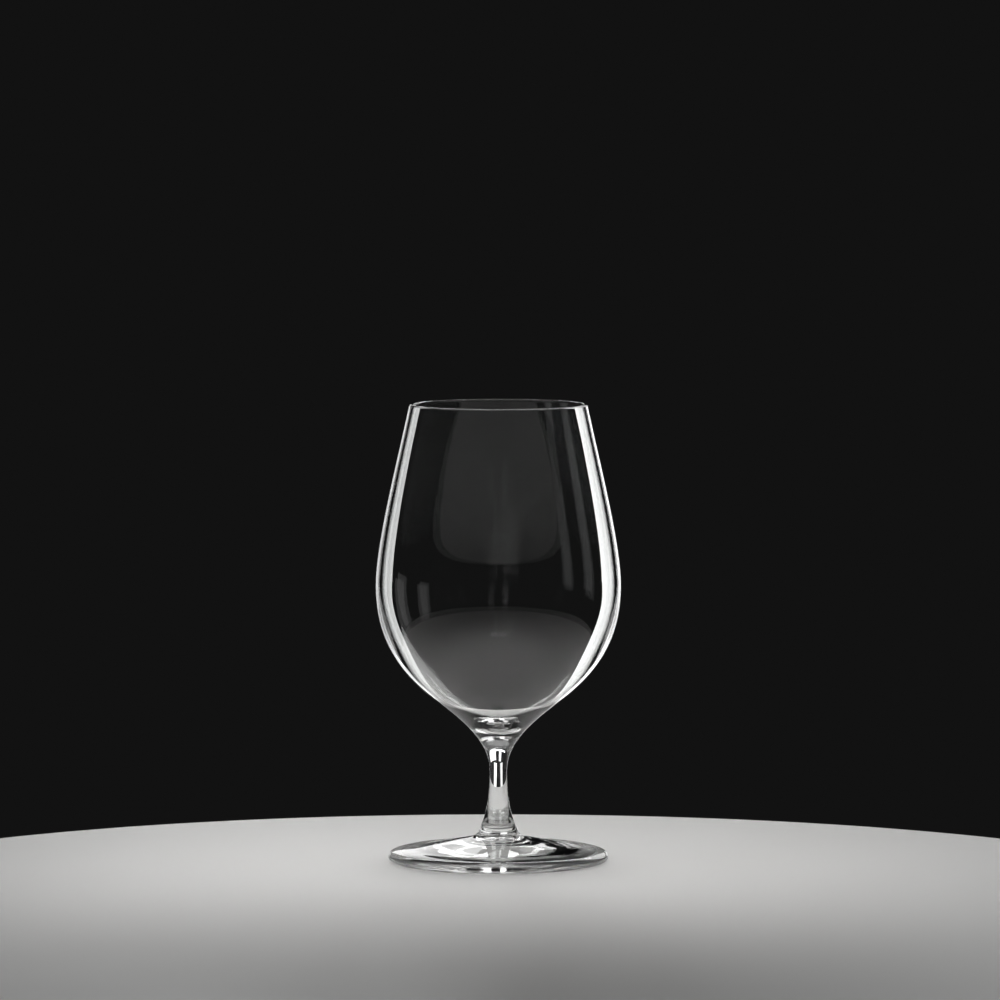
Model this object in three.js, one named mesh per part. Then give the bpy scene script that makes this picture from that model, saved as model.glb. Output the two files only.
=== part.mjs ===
// A stemmed water glass in clear glass: a blown bowl, a drawn stem and a pressed foot, fused end to end.
// Millimetres, +Z up. The origin is the centre of the ring that the foot stands on.

import * as THREE from "three";

// Whole glass: the table to the top of the rim
const glassHeight = 150;

// Foot: a collar on a shallow cone that levels out into a brim with a round edge, hollow underneath
const footDiameter = 72.2;
const edgeHeight = 1.4; // the table to the foot's widest line
const brimHeight = 4.4; // the table to the line where the cone levels out
const brimWidth = 9.85; // that line to the foot's edge
const coneRise = 3.8;
const collarFootDiameter = 14.2; // where the collar would meet the cone without its fillet
const collarHeight = 3.8;
const collarDiameter = 11.2; // the weld to the stem
const collarFillet = 4.5;
const heelWidth = 1.9; // the foot's edge to the ring that it rests on
const restWidth = 2.6;
const kickHeight = 4; // rise of the underside at its centre

// Stem: solid, narrowest at the waist
const shankLength = 17.1; // the foot's weld to the waist
const neckLength = 9.4; // the waist to the bowl's weld
const waistDiameter = 5.56;

// Bowl: widest at the belly, drawn in to the rim, with a wall that thickens from the lip downwards
const bellyAboveWeld = 52.1;
const bellyDiameter = 80.2;
const rimDiameter = 58.3;
const rimLean = 12; // degrees that the wall leans inwards at the lip
const lipThickness = 1.4;
const bellyThickness = 2;
const baseThickness = 6; // solid glass from the weld to the floor of the cavity

// Pulls: how far a curve still heads the way it left its end, so a longer pull makes a fuller curve
const rimPull = 18;
const shoulderPull = 13.7; // upwards from the belly
const underbellyPull = 39; // downwards from the belly, outside
const cavityPull = 30.5; // downwards from the belly, inside
const cavityFloorPull = 7;
const neckPull = 22.3;
const shankPull = 10.5;
const collarPull = 1.8;
const brimPull = 4.2;
const edgePull = 3;
const kickPull = 15;

// How finely the round shapes are cut into flat faces
const facets = 48;
const wallSteps = 12;
const neckSteps = 16;
const stemSteps = 9;
const footSteps = 8;
const roundingSteps = 6;

// Lengths below this are nothing
const tolerance = 1e-6;

// Heights above the table
const coneTop = brimHeight + coneRise;
const footWeld = coneTop + collarHeight;
const waistLine = footWeld + shankLength;
const bowlWeld = waistLine + neckLength;
const cavityFloor = bowlWeld + baseThickness;
const bellyLine = bowlWeld + bellyAboveWeld;

// An outline lies in the half-plane of radius and height, so a Vector2 holds (radius, height)
const at = (radius, height) => new THREE.Vector2(radius, height);
const from = (point, direction, distance) => point.clone().addScaledVector(direction, distance);
const towards = (start, end) => end.clone().sub(start).normalize();
const UP = at(0, 1);
const DOWN = at(0, -1);
const OUT = at(1, 0);
const IN = at(-1, 0);

// A curve that leaves its start in one direction and reaches its end in another
function sweep(start, startDirection, startPull, end, endDirection, endPull) {
  return new THREE.CubicBezierCurve(
    start,
    from(start, startDirection, startPull),
    from(end, endDirection, -endPull),
    end,
  );
}

// Points along a stretch of a curve, both ends included
function along(curve, steps, first = 0, last = 1) {
  const points = [];
  for (let i = 0; i <= steps; i++) {
    points.push(curve.getPoint(THREE.MathUtils.lerp(first, last, i / steps)));
  }
  return points;
}

// How far along its run a climbing curve passes a height, from 0 to 1
function shareAtHeight(curve, height) {
  let low = 0;
  let high = 1;
  while (high - low > tolerance) {
    const middle = (low + high) / 2;
    if (curve.getPoint(middle).y < height) {
      low = middle;
    } else {
      high = middle;
    }
  }
  return (low + high) / 2;
}

// A solid of revolution about Z, from an outline that runs upwards outside; shared points are kept once
function revolve(outline) {
  const points = outline.filter((point, i) => i === 0 || point.distanceTo(outline[i - 1]) > tolerance);
  return new THREE.LatheGeometry(points, facets).rotateX(Math.PI / 2);
}

// The welds: flat discs where two pieces meet face to face.
// The neck runs from the waist to the belly as one drawn curve, which the bowl's weld cuts in two.
const collar = at(collarDiameter / 2, footWeld);
const collarFoot = at(collarFootDiameter / 2, coneTop);
const flare = towards(collar, collarFoot);
const waist = at(waistDiameter / 2, waistLine);
const belly = at(bellyDiameter / 2, bellyLine);
const neck = sweep(waist, UP, neckPull, belly, UP, underbellyPull);
const weldShare = shareAtHeight(neck, bowlWeld);
const bowlWeldRing = at(neck.getPoint(weldShare).x, bowlWeld);

// Bowl: up the outside from the weld, round the lip, and down inside to the floor of the cavity
function bowlGeometry() {
  const lean = THREE.MathUtils.degToRad(rimLean);
  const inwards = at(-Math.sin(lean), Math.cos(lean));
  const lipRadius = lipThickness / 2;
  const lip = new THREE.EllipseCurve(
    rimDiameter / 2 - lipRadius * Math.cos(lean),
    glassHeight - lipRadius,
    lipRadius,
    lipRadius,
    lean,
    lean + Math.PI,
  );
  const cavityBelly = at(belly.x - bellyThickness, bellyLine);
  const outerWall = sweep(belly, UP, shoulderPull, lip.getPoint(0), inwards, rimPull);
  const innerWall = sweep(cavityBelly, UP, shoulderPull, lip.getPoint(1), inwards, rimPull);
  const cavity = sweep(at(0, cavityFloor), OUT, cavityFloorPull, cavityBelly, UP, cavityPull);
  return revolve([
    at(0, bowlWeld),
    bowlWeldRing,
    ...along(neck, neckSteps, weldShare, 1).slice(1),
    ...along(outerWall, wallSteps),
    ...along(lip, roundingSteps),
    ...along(innerWall, wallSteps).reverse(),
    ...along(cavity, neckSteps).reverse(),
  ]);
}

// Stem: from the foot's weld up the shank to the waist, and up the neck to the bowl's weld
function stemGeometry() {
  const shank = sweep(collar, flare.clone().negate(), collarPull, waist, UP, shankPull);
  return revolve([
    at(0, footWeld),
    ...along(shank, stemSteps),
    ...along(neck, stemSteps, 0, weldShare).slice(0, -1),
    bowlWeldRing,
    at(0, bowlWeld),
  ]);
}

// The hollow round between the collar and the cone, as large as their lengths leave room for
function collarRound(coneEnd) {
  const cone = towards(collarFoot, coneEnd);
  const halfTurn = Math.acos(flare.dot(cone)) / 2;
  const room = Math.min(collarFoot.distanceTo(collar), collarFoot.distanceTo(coneEnd));
  const radius = Math.min(collarFillet, room / Math.tan(halfTurn));
  const start = from(collarFoot, flare, -radius * Math.tan(halfTurn));
  const centre = from(start, at(-flare.y, flare.x), radius);
  const startAngle = towards(centre, start).angle();
  return new THREE.EllipseCurve(
    centre.x,
    centre.y,
    radius,
    radius,
    startAngle,
    startAngle + 2 * halfTurn,
  );
}

// Foot: out along the hollow underside and the rest ring, round the edge, and up the cone to the weld
function footGeometry() {
  const edge = at(footDiameter / 2, edgeHeight);
  const restOuter = at(edge.x - heelWidth, 0);
  const restInner = at(restOuter.x - restWidth, 0);
  const coneEnd = at(edge.x - brimWidth, brimHeight);
  const kick = sweep(at(0, kickHeight), OUT, kickPull, restInner, OUT, kickPull);
  const heel = new THREE.EllipseCurve(
    restOuter.x,
    edgeHeight,
    heelWidth,
    edgeHeight,
    -Math.PI / 2,
    0,
  );
  const brim = sweep(edge, UP, edgePull, coneEnd, towards(coneEnd, collarFoot), brimPull);
  return revolve([
    ...along(kick, footSteps),
    ...along(heel, roundingSteps),
    ...along(brim, wallSteps),
    ...along(collarRound(coneEnd), footSteps).reverse(),
    collar,
    at(0, footWeld),
  ]);
}

function clearGlass() {
  return new THREE.MeshStandardMaterial({
    color: 0xf3f7f6,
    roughness: 0.03,
    metalness: 0,
    transparent: true,
    opacity: 0.3,
  });
}

const glass = new THREE.Group();
const pieces = { bowl: bowlGeometry(), stem: stemGeometry(), foot: footGeometry() };
for (const [name, geometry] of Object.entries(pieces)) {
  const piece = new THREE.Mesh(geometry, clearGlass());
  piece.name = name;
  glass.add(piece);
}

export default glass;
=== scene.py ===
# %% [markdown]
# # A stemmed water glass
# The real one is clear, colourless and made hot in three steps: a bowl is blown, a stem is drawn out of
# its base, and a gather of glass is pressed into a foot and welded on. The script starts from the packed
# CAD frame, turns each of the three pieces anew as a smooth, dense mesh, gives them a glass that bends
# light, and sets them on a pale table under soft lamps.

import math

import bmesh
import bpy
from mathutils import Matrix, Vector


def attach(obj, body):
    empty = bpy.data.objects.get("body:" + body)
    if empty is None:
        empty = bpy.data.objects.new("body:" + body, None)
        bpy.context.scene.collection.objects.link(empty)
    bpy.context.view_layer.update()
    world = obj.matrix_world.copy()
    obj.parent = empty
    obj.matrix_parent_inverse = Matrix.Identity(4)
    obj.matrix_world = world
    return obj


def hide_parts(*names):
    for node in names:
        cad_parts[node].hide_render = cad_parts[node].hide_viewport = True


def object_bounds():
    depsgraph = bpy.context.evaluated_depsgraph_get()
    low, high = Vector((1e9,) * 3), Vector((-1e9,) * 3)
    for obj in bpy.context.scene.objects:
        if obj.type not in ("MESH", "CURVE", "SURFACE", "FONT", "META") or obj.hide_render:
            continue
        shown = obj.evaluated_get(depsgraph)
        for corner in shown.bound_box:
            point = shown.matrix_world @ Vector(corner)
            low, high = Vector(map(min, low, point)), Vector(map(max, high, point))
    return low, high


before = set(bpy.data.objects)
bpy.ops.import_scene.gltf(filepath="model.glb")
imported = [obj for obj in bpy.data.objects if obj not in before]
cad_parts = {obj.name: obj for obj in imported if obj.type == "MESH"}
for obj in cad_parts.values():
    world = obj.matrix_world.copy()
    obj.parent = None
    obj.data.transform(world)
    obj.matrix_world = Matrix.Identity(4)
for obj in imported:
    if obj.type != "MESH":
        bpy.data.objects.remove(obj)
cad_box = [list(corner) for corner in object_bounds()]
print("CAD box in metres:", cad_box)

# %% [markdown]
# ## Sizes
# The glass is round about the Z axis, so a radius and a height place every point of it. The sizes are
# the CAD model's, in millimetres, and the helper turns them into the metres that Blender works in.

# %% Sizes of the glass
MM = 0.001


def at(radius, height):
    """A point of an outline, from millimetres: distance from the axis, and height above the table."""
    return Vector((radius * MM, height * MM))


# Heights above the table
EDGE_HEIGHT = 1.4
KICK_HEIGHT = 4.0
BRIM_HEIGHT = 4.4
CONE_TOP = 8.2
FOOT_WELD = 12.0
WAIST_LINE = 29.1
BOWL_WELD = 38.5
CAVITY_FLOOR = 44.5
BELLY_LINE = 90.6
RIM_TOP = cad_box[1][2] / MM

# Radii
WAIST_RADIUS = 2.78
COLLAR_RADIUS = 5.6
COLLAR_FOOT_RADIUS = 7.1
BRIM_RADIUS = 26.25
REST_RADII = (31.6, 34.2)
FOOT_RADIUS = 36.1
BELLY_RADIUS = 40.1
RIM_RADIUS = 29.15

BELLY_THICKNESS = 2.0
LIP_RADIUS = 0.7
RIM_LEAN = math.radians(12)
COLLAR_FILLET = 4.5
print("belly", 2 * BELLY_RADIUS, "mm across, foot", 2 * FOOT_RADIUS, "mm across")

# %% Points where the outlines meet
waist = at(WAIST_RADIUS, WAIST_LINE)
belly = at(BELLY_RADIUS, BELLY_LINE)
cavity_belly = at(BELLY_RADIUS - BELLY_THICKNESS, BELLY_LINE)
collar = at(COLLAR_RADIUS, FOOT_WELD)
collar_foot = at(COLLAR_FOOT_RADIUS, CONE_TOP)
cone_end = at(BRIM_RADIUS, BRIM_HEIGHT)
foot_edge = at(FOOT_RADIUS, EDGE_HEIGHT)
rest_inner = at(REST_RADII[0], 0)
rest_outer = at(REST_RADII[1], 0)

UP = Vector((0, 1))
OUT = Vector((1, 0))
leaning_in = Vector((-math.sin(RIM_LEAN), math.cos(RIM_LEAN)))
print("the foot rests on a ring", round((rest_outer.x - rest_inner.x) / MM, 2), "mm wide")

# %% [markdown]
# ## Drawing an outline
# A lathe worker would cut a template of half the glass. Here the template is a list of stretches: two
# points make a straight one, and four a cubic Bézier, the same curve that Blender's own pen draws.
# Arcs are cubics too, at most a quarter turn each, where a cubic is round to a few parts in ten thousand.
# Pulls say how far a curve keeps the heading of its end, as the handles of a Bézier curve do.

# %% Straight and curved stretches of an outline
# Lengths in metres and angles below this are nothing
TOLERANCE = 1e-6


def sweep(start, start_heading, start_pull, end, end_heading, end_pull):
    """A curve that leaves start on one heading and reaches end on another. Pulls are in millimetres."""
    return [start, start + start_heading * start_pull * MM, end - end_heading * end_pull * MM, end]


def arc(centre, radius_out, radius_up, first, last):
    """Part of a circle or ellipse from one angle to another, as one cubic for each quarter turn."""
    quarters = max(1, math.ceil(abs(last - first) / (math.pi / 2) - TOLERANCE))
    step = (last - first) / quarters
    reach = 4 / 3 * math.tan(step / 4)
    stretches = []
    for i in range(quarters):
        ends = []
        for angle, side in ((first + i * step, 1), (first + (i + 1) * step, -1)):
            point = centre + Vector((radius_out * math.cos(angle), radius_up * math.sin(angle)))
            heading = Vector((-radius_out * math.sin(angle), radius_up * math.cos(angle)))
            ends.append((point, point + heading * reach * side))
        stretches.append([ends[0][0], ends[0][1], ends[1][1], ends[1][0]])
    return stretches


def backwards(stretches):
    """The same outline, drawn from its far end."""
    return [stretch[::-1] for stretch in reversed(stretches)]


# %% Cutting a stretch in two
HALVINGS = 40


def cut(stretch, share):
    """Cuts a cubic in two at a share of its run, from 0 to 1, by points on the lines between its points."""
    a, b, c, d = stretch
    ab, bc, cd = a.lerp(b, share), b.lerp(c, share), c.lerp(d, share)
    abc, bcd = ab.lerp(bc, share), bc.lerp(cd, share)
    middle = abc.lerp(bcd, share)
    return [a, ab, abc, middle], [middle, bcd, cd, d]


def cut_at_height(stretch, height):
    """Cuts a climbing cubic where it passes a height in metres."""
    low, high = 0.0, 1.0
    for _ in range(HALVINGS):
        share = (low + high) / 2
        if cut(stretch, share)[0][3].y < height:
            low = share
        else:
            high = share
    return cut(stretch, share)


# %% [markdown]
# ## The three outlines
# One drawn curve, the neck, runs from the waist of the stem to the belly of the bowl, because the real
# stem is pulled out of the bowl's own hot glass. The weld cuts it in two, so that stem and bowl share
# their tangent there. The bowl's wall thickens from the lip down to a solid base.

# %% Outline of the bowl, up the outside and down the inside
NECK_PULL = 22.3
UNDERBELLY_PULL = 39.0
SHOULDER_PULL = 13.7
RIM_PULL = 18.0
CAVITY_FLOOR_PULL = 7.0
CAVITY_PULL = 30.5

neck = sweep(waist, UP, NECK_PULL, belly, UP, UNDERBELLY_PULL)
neck_below, neck_above = cut_at_height(neck, BOWL_WELD * MM)
weld_ring = neck_above[0]

lip_centre = at(RIM_RADIUS - LIP_RADIUS * math.cos(RIM_LEAN), RIM_TOP - LIP_RADIUS)
lip = arc(lip_centre, LIP_RADIUS * MM, LIP_RADIUS * MM, RIM_LEAN, RIM_LEAN + math.pi)
outer_wall = sweep(belly, UP, SHOULDER_PULL, lip[0][0], leaning_in, RIM_PULL)
inner_wall = sweep(cavity_belly, UP, SHOULDER_PULL, lip[-1][-1], leaning_in, RIM_PULL)
cavity = sweep(at(0, CAVITY_FLOOR), OUT, CAVITY_FLOOR_PULL, cavity_belly, UP, CAVITY_PULL)

bowl_outline = [[at(0, BOWL_WELD), weld_ring], neck_above, outer_wall, *lip]
bowl_outline += backwards([cavity, inner_wall])
print("bowl outline:", len(bowl_outline), "stretches; weld", round(2 * weld_ring.x / MM, 2), "mm across")

# %% Outline of the stem, from weld to weld
COLLAR_PULL = 1.8
SHANK_PULL = 10.5

flare = (collar_foot - collar).normalized()
shank = sweep(collar, -flare, COLLAR_PULL, waist, UP, SHANK_PULL)
stem_outline = [[at(0, FOOT_WELD), collar], shank, neck_below, [weld_ring, at(0, BOWL_WELD)]]
print("stem outline:", len(stem_outline), "stretches")

# %% The fillet between the foot's collar and its cone
cone = (cone_end - collar_foot).normalized()
half_turn = math.acos(flare.dot(cone)) / 2
fillet_reach = COLLAR_FILLET * MM * math.tan(half_turn)
fillet_pull = COLLAR_FILLET * 4 / 3 * math.tan(half_turn / 2)
fillet_top = collar_foot - flare * fillet_reach
fillet_end = collar_foot + cone * fillet_reach
fillet = sweep(fillet_end, -cone, fillet_pull, fillet_top, -flare, fillet_pull)
print("collar and cone meet at", round(180 - math.degrees(2 * half_turn)), "degrees")

# %% Outline of the foot, out along its hollow underside and back over the top
KICK_PULL = 15.0
EDGE_PULL = 3.0
BRIM_PULL = 4.2
# The share of the underside that gets rings, which need steps of their own
RIPPLED_SHARE = 0.35

kick = sweep(at(0, KICK_HEIGHT), OUT, KICK_PULL, rest_inner, OUT, KICK_PULL)
kick_middle, kick_outside = cut(kick, RIPPLED_SHARE)
heel_centre = at(REST_RADII[1], EDGE_HEIGHT)
heel = arc(heel_centre, foot_edge.x - heel_centre.x, heel_centre.y, -math.pi / 2, 0)
brim = sweep(foot_edge, UP, EDGE_PULL, cone_end, -cone, BRIM_PULL)
# A straight stretch with handles gets steps along it, which the waves in the cone need
slope_pull = (cone_end - fillet_end).length / MM / 3
slope = sweep(cone_end, -cone, slope_pull, fillet_end, -cone, slope_pull)

foot_outline = [kick_middle, kick_outside, [rest_inner, rest_outer], *heel, brim, slope, fillet]
foot_outline += [[fillet_top, collar], [collar, at(0, FOOT_WELD)]]
print("foot outline:", len(foot_outline), "stretches")
print("rippled middle of the underside:", round(2 * kick_middle[3].x / MM, 1), "mm across")

# %% [markdown]
# ## The lathe
# A Screw modifier or bmesh.ops.spin could turn an outline. A Geometry Nodes tree is used because its
# sizes stay named inputs and one tree serves all three pieces. Curve to Mesh carries the outline round
# a circle, Merge by Distance closes the poles on the axis, and every edge stays smooth but the rim of
# a weld. The two flat weld faces get a material of their own.

# %% A small helper for building node trees
def add(tree, kind, inputs=None, **options):
    """Adds a node. Each input is a plain value, or another node's output to link."""
    node = tree.nodes.new(kind)
    for name, value in options.items():
        setattr(node, name, value)
    for name, value in (inputs or {}).items():
        if isinstance(value, bpy.types.NodeSocket):
            tree.links.new(value, node.inputs[name])
        else:
            node.inputs[name].default_value = value
    return node


# %% The lathe's named inputs
LATHE_INPUTS = {
    "Outline": "NodeSocketObject",
    "Steps round": "NodeSocketInt",
    "Lower weld": "NodeSocketFloat",
    "Upper weld": "NodeSocketFloat",
    "Ripple depth": "NodeSocketFloat",
    "Wave depth": "NodeSocketFloat",
    "Glass": "NodeSocketMaterial",
    "Weld": "NodeSocketMaterial",
}

lathe = bpy.data.node_groups.new("Lathe", "GeometryNodeTree")
lathe.is_modifier = True
lathe.interface.new_socket("Geometry", in_out="OUTPUT", socket_type="NodeSocketGeometry")
lathe_ids = {}
for socket_name, socket_type in LATHE_INPUTS.items():
    socket = lathe.interface.new_socket(socket_name, in_out="INPUT", socket_type=socket_type)
    lathe_ids[socket_name] = socket.identifier
given = add(lathe, "NodeGroupInput").outputs
print("lathe inputs:", list(lathe_ids))

# %% Turning the outline
# The outline is carried round a circle of any radius, from which it is first moved back by that radius
TURN_RADIUS = 0.1

drawn = add(lathe, "GeometryNodeObjectInfo", {"Object": given["Outline"]})
# Curve to Mesh lays the outline's x along the radius and its y downwards, from a point on the circle
template = add(lathe, "GeometryNodeTransform", {
    "Geometry": drawn.outputs["Geometry"],
    "Translation": (-TURN_RADIUS, 0, 0),
    "Scale": (1, -1, 1),
})
circle = add(lathe, "GeometryNodeCurvePrimitiveCircle", {
    "Resolution": given["Steps round"],
    "Radius": TURN_RADIUS,
})
turned = add(lathe, "GeometryNodeCurveToMesh", {
    "Curve": circle.outputs["Curve"],
    "Profile Curve": template.outputs["Geometry"],
})
closed = add(lathe, "GeometryNodeMergeByDistance", {
    "Geometry": turned.outputs["Mesh"],
    "Distance": TOLERANCE,
})
print("turning:", len(lathe.nodes), "nodes so far")

# %% [markdown]
# ## The press's marks
# The foot is pressed, and a press leaves marks that a lathe doesn't: the plunger's chill puts a few
# fine rings in the middle of the underside, and the slope cools in broad, shallow waves. Light that
# bounces inside the foot makes them show, so they are real relief. In the tree they are two offsets: a
# cosine of the radius for the rings, and a smooth noise along the normal for the waves. Both fade out
# before the rest ring, the edge and the weld, whose sizes count.

# %% Helpers for fields of numbers
def calculate(tree, operation, first, second=0.0):
    """One step of arithmetic, on plain numbers or on other nodes' outputs."""
    return add(tree, "ShaderNodeMath", {0: first, 1: second}, operation=operation).outputs["Value"]


def product(tree, *factors):
    """All the factors multiplied together."""
    result = factors[0]
    for factor in factors[1:]:
        result = calculate(tree, "MULTIPLY", result, factor)
    return result


def ramp(tree, value, zero_at, one_at):
    """A smooth step from 0 to 1 as a value goes from one limit to the other."""
    limits = {"Value": value, "From Min": zero_at, "From Max": one_at}
    return add(tree, "ShaderNodeMapRange", limits, interpolation_type="SMOOTHSTEP").outputs["Result"]


def noise(tree, place, scale, detail):
    """A smooth noise between 0 and 1, with so many features in a metre."""
    inputs = {"Vector": place, "Scale": scale, "Detail": detail}
    return add(tree, "ShaderNodeTexNoise", inputs).outputs["Fac"]


# %% Rings in the middle of the underside
RING_SPACING = 2.9 * MM
RINGS_END = (8.5 * MM, 11.5 * MM)
UNDERSIDE_TOP = 4.2 * MM

place = add(lathe, "GeometryNodeInputPosition").outputs["Position"]
height = add(lathe, "ShaderNodeSeparateXYZ", {"Vector": place}).outputs["Z"]
level_place = add(lathe, "ShaderNodeVectorMath", {0: place, 1: (1, 1, 0)}, operation="MULTIPLY")
from_axis = add(lathe, "ShaderNodeVectorMath", {0: level_place.outputs["Vector"]}, operation="LENGTH")
radius = from_axis.outputs["Value"]

ripple = product(
    lathe,
    calculate(lathe, "COSINE", product(lathe, radius, 2 * math.pi / RING_SPACING)),
    ramp(lathe, radius, RINGS_END[1], RINGS_END[0]),
    calculate(lathe, "LESS_THAN", height, UNDERSIDE_TOP),
    given["Ripple depth"],
)
rippled = add(lathe, "GeometryNodeSetPosition", {
    "Geometry": closed.outputs["Geometry"],
    "Offset": add(lathe, "ShaderNodeCombineXYZ", {"Z": ripple}).outputs["Vector"],
})
print("rings", RING_SPACING / MM, "mm apart")

# %% Waves in the slope
WAVE_LENGTH = 13 * MM
WAVES_BEGIN = (8 * MM, 13 * MM)
WAVES_END = (31 * MM, 35 * MM)
WAVES_CLEAR_TABLE = (0.3 * MM, 1.2 * MM)

wave = product(
    lathe,
    calculate(lathe, "SUBTRACT", noise(lathe, place, 1 / WAVE_LENGTH, detail=1), 0.5),
    ramp(lathe, radius, *WAVES_BEGIN),
    ramp(lathe, radius, WAVES_END[1], WAVES_END[0]),
    ramp(lathe, height, *WAVES_CLEAR_TABLE),
    given["Wave depth"],
)
normal = add(lathe, "GeometryNodeInputNormal").outputs["Normal"]
push = add(lathe, "ShaderNodeVectorMath", {0: normal, "Scale": wave}, operation="SCALE")
waved = add(lathe, "GeometryNodeSetPosition", {
    "Geometry": rippled.outputs["Geometry"],
    "Offset": push.outputs["Vector"],
})
print("waves about", WAVE_LENGTH / MM, "mm long")

# %% Smoothing and materials in the lathe tree
CREASE_ANGLE = math.radians(45)

smooth = add(lathe, "GeometryNodeSetShadeSmooth", {"Geometry": waved.outputs["Geometry"]}, domain="FACE")
bend = add(lathe, "GeometryNodeInputMeshEdgeAngle")
corner = add(lathe, "FunctionNodeCompare", {"A": bend.outputs["Unsigned Angle"], "B": CREASE_ANGLE})
creased = add(lathe, "GeometryNodeSetShadeSmooth", {
    "Geometry": smooth.outputs["Geometry"],
    "Selection": corner.outputs["Result"],
    "Shade Smooth": False,
}, domain="EDGE")
solid = add(lathe, "GeometryNodeRealizeInstances", {"Geometry": creased.outputs["Geometry"]})
glazed = add(lathe, "GeometryNodeSetMaterial", {
    "Geometry": solid.outputs["Geometry"],
    "Material": given["Glass"],
})
on_weld = []
for weld_name in ("Lower weld", "Upper weld"):
    level = {"A": height, "B": given[weld_name], "Epsilon": TOLERANCE}
    on_weld.append(add(lathe, "FunctionNodeCompare", level, operation="EQUAL").outputs["Result"])
either = add(lathe, "FunctionNodeBooleanMath", {0: on_weld[0], 1: on_weld[1]}, operation="OR")
welded = add(lathe, "GeometryNodeSetMaterial", {
    "Geometry": glazed.outputs["Geometry"],
    "Selection": either.outputs["Boolean"],
    "Material": given["Weld"],
})
add(lathe, "NodeGroupOutput", {"Geometry": welded.outputs["Geometry"]})
print("lathe tree:", len(lathe.nodes), "nodes")


# %% From outline to curve
def draw(name, stretches, steps_along):
    """A curve object from an outline: straight stretches stay one edge, the others get steps_along."""
    data = bpy.data.curves.new(name, "CURVE")
    data.dimensions = "3D"
    spline = data.splines.new("BEZIER")
    spline.resolution_u = steps_along
    spline.bezier_points.add(len(stretches))
    places = [stretch[0] for stretch in stretches] + [stretches[-1][-1]]
    for point, place in zip(spline.bezier_points, places):
        point.co = place.to_3d()
        point.handle_left_type = point.handle_right_type = "VECTOR"
    for i, stretch in enumerate(stretches):
        if len(stretch) == 4:
            leaving, reaching = spline.bezier_points[i], spline.bezier_points[i + 1]
            leaving.handle_right_type = reaching.handle_left_type = "FREE"
            leaving.handle_right = stretch[1].to_3d()
            reaching.handle_left = stretch[2].to_3d()
    outline = bpy.data.objects.new(name, data)
    bpy.context.collection.objects.link(outline)
    return outline


# %% From curve to plain mesh
STEPS_ALONG = 40
STEPS_ROUND = 240


def face_outwards(mesh):
    """Turns a closed mesh's faces outwards, and gives its count of open edges and its volume."""
    shell = bmesh.new()
    shell.from_mesh(mesh)
    if shell.calc_volume(signed=True) < 0:
        bmesh.ops.reverse_faces(shell, faces=shell.faces)
        shell.to_mesh(mesh)
    open_edges = sum(1 for edge in shell.edges if len(edge.link_faces) != 2)
    volume = shell.calc_volume(signed=True)
    shell.free()
    return open_edges, volume


def turn(name, stretches, welds, ripple_depth=0.0, wave_depth=0.0):
    """One piece of the glass: its outline turned on the axis. Welds and depths are in millimetres."""
    outline = draw(name + "_outline", stretches, STEPS_ALONG)
    blank = bpy.data.objects.new(name + "_blank", bpy.data.meshes.new(name + "_blank"))
    bpy.context.collection.objects.link(blank)
    modifier = blank.modifiers.new("Lathe", "NODES")
    modifier.node_group = lathe
    values = {
        "Outline": outline,
        "Steps round": STEPS_ROUND,
        "Lower weld": welds[0] * MM,
        "Upper weld": welds[-1] * MM,
        "Ripple depth": ripple_depth * MM,
        "Wave depth": wave_depth * MM,
        "Glass": clear_glass,
        "Weld": fused_weld,
    }
    for socket_name, value in values.items():
        modifier[lathe_ids[socket_name]] = value
    evaluated = blank.evaluated_get(bpy.context.evaluated_depsgraph_get())
    mesh = bpy.data.meshes.new_from_object(evaluated)
    mesh.name = name
    piece = bpy.data.objects.new(name, mesh)
    bpy.context.collection.objects.link(piece)
    bpy.data.objects.remove(blank)
    bpy.data.objects.remove(outline)
    open_edges, volume = face_outwards(mesh)
    print(f"{name}: {len(mesh.polygons)} faces, {open_edges} open edges, {volume * 1e6:.2f} cm3")
    return piece


# %% [markdown]
# ## Clear glass
# Tableware glass is colourless, with a refractive index near 1.52. It is never quite perfect: turning
# on the blowpipe leaves faint level waves in the wall, a washed glass keeps a trace of film, and the ring
# that the foot stands on gets fine scuffs. An Image Texture could carry such marks, but noise on Object
# coordinates needs no unwrapping and has no seams. It goes into bump for the waves and into roughness
# for film and scuffs, while a Principled shader with full transmission bends the light.

# %% The clear glass
INDEX_OF_GLASS = 1.52


def new_material(name):
    """A material with a Principled shader, as the material, its node tree and the shader."""
    material = bpy.data.materials.new(name)
    material.use_nodes = True
    return material, material.node_tree, material.node_tree.nodes["Principled BSDF"]


clear_glass, glass_tree, glass_shader = new_material("clear_glass")
glass_shader.inputs["Base Color"].default_value = (0.985, 0.992, 0.989, 1)
glass_shader.inputs["Transmission Weight"].default_value = 1.0
glass_shader.inputs["IOR"].default_value = INDEX_OF_GLASS
print("clear glass: refractive index", INDEX_OF_GLASS)

# %% Waves from turning, as bump
WAVES_PER_METRE = (9, 9, 55)
WAVE_RELIEF = 0.02 * MM

glass_place = add(glass_tree, "ShaderNodeTexCoord").outputs["Object"]
stretched = add(glass_tree, "ShaderNodeMapping", {"Vector": glass_place, "Scale": WAVES_PER_METRE})
glass_bump = add(glass_tree, "ShaderNodeBump", {
    "Strength": 1.0,
    "Distance": WAVE_RELIEF,
    "Height": noise(glass_tree, stretched.outputs["Vector"], scale=1, detail=1),
})
glass_tree.links.new(glass_bump.outputs["Normal"], glass_shader.inputs["Normal"])
print("turning waves", WAVE_RELIEF / MM, "mm deep")

# %% Film and scuffs, as roughness
FILM_SCALE = 45.0
FILM_SHOWS = (0.45, 0.75)
FILM_ROUGHNESS = 0.012
SCUFF_SCALE = 2500.0
SCUFF_HEIGHT = (0.35 * MM, 0.05 * MM)
SCUFF_ROUGHNESS = 0.35

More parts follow.
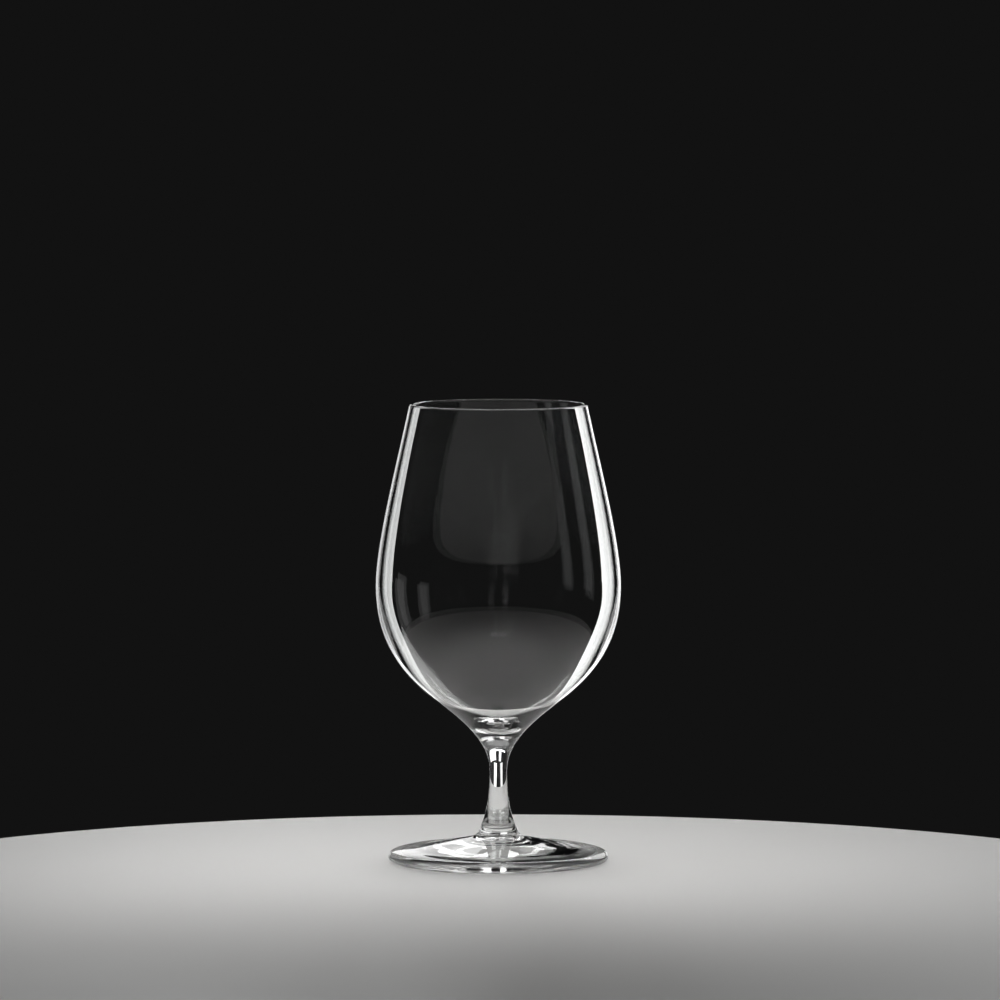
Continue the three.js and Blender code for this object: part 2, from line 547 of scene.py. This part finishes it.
film_patches = noise(glass_tree, glass_place, FILM_SCALE, detail=3)
film = product(glass_tree, ramp(glass_tree, film_patches, *FILM_SHOWS), FILM_ROUGHNESS)
glass_height = add(glass_tree, "ShaderNodeSeparateXYZ", {"Vector": glass_place}).outputs["Z"]
scuff = product(
    glass_tree,
    noise(glass_tree, glass_place, SCUFF_SCALE, detail=2),
    ramp(glass_tree, glass_height, *SCUFF_HEIGHT),
    SCUFF_ROUGHNESS,
)
glass_tree.links.new(calculate(glass_tree, "ADD", film, scuff), glass_shader.inputs["Roughness"])
print("scuffs below", SCUFF_HEIGHT[0] / MM, "mm")

# %% The welds
# Two touching faces inside the glass, where the real one is melted through: light passes straight on
fused_weld, weld_tree, weld_shader = new_material("fused_weld")
weld_shader.inputs["Base Color"].default_value = (1, 1, 1, 1)
weld_shader.inputs["Transmission Weight"].default_value = 1.0
weld_shader.inputs["Roughness"].default_value = 0.0
weld_shader.inputs["IOR"].default_value = 1.0
print("materials:", len(bpy.data.materials))

# %% Turn the pieces
RIPPLE_DEPTH = 0.1
WAVE_DEPTH = 0.2

bowl = turn("blown_bowl", bowl_outline, [BOWL_WELD])
stem = turn("drawn_stem", stem_outline, [FOOT_WELD, BOWL_WELD])
foot = turn("pressed_foot", foot_outline, [FOOT_WELD], RIPPLE_DEPTH, WAVE_DEPTH)
for piece, node in ((bowl, "bowl"), (stem, "stem"), (foot, "foot")):
    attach(piece, "root")
    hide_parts(node)

# %% [markdown]
# ## The table
# Clear glass shows little but what stands round it, so the stage matters more than for any other
# material. The glass stands near the far edge of a round, pale, satin table, and past that edge the
# studio is dark. A floor without an end would fill the bowl with one pale tone and hide the bright lines
# that draw its shape.

# %% A round pale table
TABLE_RADIUS = 0.245
TABLE_THICKNESS = 0.02
TABLE_BEHIND = 0.125
TABLE_SIDES = 256

shape = bmesh.new()
bmesh.ops.create_cone(
    shape,
    cap_ends=True,
    segments=TABLE_SIDES,
    radius1=TABLE_RADIUS,
    radius2=TABLE_RADIUS,
    depth=TABLE_THICKNESS,
)
table_centre = (0, TABLE_BEHIND - TABLE_RADIUS, -TABLE_THICKNESS / 2)
bmesh.ops.translate(shape, verts=shape.verts, vec=table_centre)
table_mesh = bpy.data.meshes.new("table")
shape.to_mesh(table_mesh)
shape.free()
table = bpy.data.objects.new("table", table_mesh)
bpy.context.collection.objects.link(table)
print("the table ends", TABLE_BEHIND, "m behind the middle of the glass")

# %% The table's satin finish
PALE_TONES = ((0.61, 0.605, 0.595, 1), (0.635, 0.63, 0.62, 1))
SATIN_ROUGHNESS = (0.42, 0.55)
CLOUD_SCALE = 7.0


def mix_colours(tree, share, first, second):
    """A colour between two. A Mix node has sockets for each kind of data: 6 and 7 take its colours."""
    node = add(tree, "ShaderNodeMix", {0: share, 6: first, 7: second}, data_type="RGBA")
    return node.outputs[2]


satin, satin_tree, satin_shader = new_material("pale_satin")
satin_place = add(satin_tree, "ShaderNodeTexCoord").outputs["Object"]
cloud = noise(satin_tree, satin_place, CLOUD_SCALE, detail=4)
satin_tree.links.new(mix_colours(satin_tree, cloud, *PALE_TONES), satin_shader.inputs["Base Color"])
sheen = add(satin_tree, "ShaderNodeMapRange", {
    "Value": cloud,
    "To Min": SATIN_ROUGHNESS[0],
    "To Max": SATIN_ROUGHNESS[1],
})
satin_tree.links.new(sheen.outputs["Result"], satin_shader.inputs["Roughness"])
table_mesh.materials.append(satin)
print("satin roughness", SATIN_ROUGHNESS)

# %% [markdown]
# ## Lamps
# A photographer lights clear glass from behind. The lamps stand out of sight, and only light that the
# glass bends or mirrors towards the eye draws it. So each lamp is placed by the direction that one part of
# the glass shows: the edges of the bowl look 8 to 28 degrees to the sides and a little down, the stem
# looks further aside, and the foot mirrors what stands straight behind, well above the horizon. Two dim
# strips at the left do for a view from the right what the main strips do for the front.

# %% A lamp that the camera doesn't see
def softbox(name, width, height, radiance, spread=180):
    """A flat lamp, in metres; a small spread in degrees narrows its light."""
    data = bpy.data.lights.new(name, "AREA")
    data.shape = "RECTANGLE"
    data.size = width
    data.size_y = height
    data.spread = math.radians(spread)
    # A flat lamp of radiance 1 gives off pi watts from each square metre
    data.energy = radiance * math.pi * width * height
    lamp = bpy.data.objects.new(name, data)
    lamp.visible_camera = False
    bpy.context.collection.objects.link(lamp)
    return lamp


# %% Lamps behind the glass, placed by angle
LAMP_DISTANCE = 2.2
STRIP_HEIGHTS = (-0.9, 0.25)
STRIP_TILT = 8.7
SIDE_HEIGHTS = (-0.9, 0.1)
SIDE_RADIANCE = 0.3


def standing_lamp(name, angles, heights, radiance, tilt=0):
    """A softbox that fills angles, in degrees left of the line of view. Tilt leans it in its own plane."""
    first, last = angles
    low, high = heights
    width = 2 * LAMP_DISTANCE * math.tan(math.radians(last - first) / 2)
    lamp = softbox(name, width, high - low, radiance)
    middle = math.radians(90 + (first + last) / 2)
    across = LAMP_DISTANCE * math.cos(middle)
    behind = LAMP_DISTANCE * math.sin(middle)
    lamp.location = (across, behind, (low + high) / 2)
    lamp.rotation_euler = (math.pi / 2, math.radians(tilt), middle + math.pi / 2)


standing_lamp("left_strip", (10, 21.5), STRIP_HEIGHTS, radiance=1.05, tilt=-STRIP_TILT)
standing_lamp("right_strip", (-21.5, -8.9), STRIP_HEIGHTS, radiance=1.7, tilt=STRIP_TILT)
standing_lamp("right_panel", (-42, -9), heights=(0.4, 1.9), radiance=1.5)
standing_lamp("foot_panel", (2.5, 10), heights=(0.32, 1.27), radiance=1.8)
standing_lamp("side_strip_near", (99, 110), SIDE_HEIGHTS, SIDE_RADIANCE)
standing_lamp("side_strip_far", (67, 81), SIDE_HEIGHTS, SIDE_RADIANCE)
print("lamps behind the glass:", len(bpy.data.lights))


# %% A bar above, for the rim
def hang(lamp, place, aim):
    """Puts a lamp at a place and points it at another."""
    lamp.location = place
    lamp.rotation_euler = (Vector(aim) - Vector(place)).to_track_quat("-Z", "Y").to_euler()


rim_bar = softbox("rim_bar", width=1.1, height=0.12, radiance=4.0)
hang(rim_bar, place=(0, 1.2, 0.75), aim=(0, 0, 0.1))
print("the rim bar hangs at", tuple(rim_bar.location))

# %% A pool of light on the table
# One part of the pool is stopped by the glass and leaves a shadow. Light linking lets the other part
# through to the table, as clear glass does. The glass doesn't mirror or show these lamps themselves,
# which would be hard white squares in the bowl's floor.
POOL_PLACE = (0, 0.15, 0.8)
POOL_SIZE = 0.3
POOL_SPREAD = 24
POOL_RADIANCE = {"shaded_pool": 0.27, "clear_pool": 0.54}

pools = {}
for pool_name, pool_radiance in POOL_RADIANCE.items():
    pool = softbox(pool_name, POOL_SIZE, POOL_SIZE, pool_radiance, POOL_SPREAD)
    hang(pool, POOL_PLACE, aim=(0, 0, 0))
    pool.visible_glossy = False
    pool.visible_transmission = False
    pools[pool_name] = pool

see_through = bpy.data.collections.new("see_through")
for piece in (bowl, stem, foot):
    see_through.objects.link(piece)
for member in see_through.collection_objects:
    member.light_linking.link_state = "EXCLUDE"
pools["clear_pool"].light_linking.blocker_collection = see_through

# %% [markdown]
# ## The studio
# The world stands in for the room: dark all round, and softly light overhead, as under a wide ceiling
# softbox. The glass's concave floor mirrors that ceiling, and the table takes its soft fill from it.

# %% A dark room with a light ceiling
ROOM = (0.006, 0.006, 0.006, 1)
CEILING = (0.3, 0.3, 0.3, 1)
# How far up a direction points where the ceiling begins and where it is full, from 0, level, to 1
CEILING_EDGE = (0.6, 0.9)

world = bpy.data.worlds.new("studio")
bpy.context.scene.world = world
world.use_nodes = True
room = world.node_tree
direction = add(room, "ShaderNodeTexCoord").outputs["Generated"]
upwards = add(room, "ShaderNodeSeparateXYZ", {"Vector": direction}).outputs["Z"]
room_tone = mix_colours(room, ramp(room, upwards, *CEILING_EDGE), ROOM, CEILING)
room.links.new(room_tone, room.nodes["Background"].inputs["Color"])
print("lamps in all:", len(bpy.data.lights))

# %% [markdown]
# ## The camera
# The camera was fitted to the photograph together with the outline: a long lens, about two metres from the
# glass, a little above its rim and looking slightly down.

# %% Camera
LENS = 243.09
SENSOR_WIDTH = 36.0
CAMERA_PLACE = (0.00055, -2.20019, 0.28282)
LOOKING_DOWN = 0.0745060
FAR_ENOUGH = 200.0

camera_data = bpy.data.cameras.new("camera")
camera_data.lens = LENS
camera_data.sensor_width = SENSOR_WIDTH
camera_data.clip_end = FAR_ENOUGH
camera = bpy.data.objects.new("camera", camera_data)
camera.location = CAMERA_PLACE
camera.rotation_euler = (math.pi / 2 - LOOKING_DOWN, 0, 0)
bpy.context.collection.objects.link(camera)
bpy.context.scene.camera = camera
bpy.context.scene.view_settings.view_transform = "Standard"
print("camera looks", round(math.degrees(LOOKING_DOWN), 1), "degrees down")
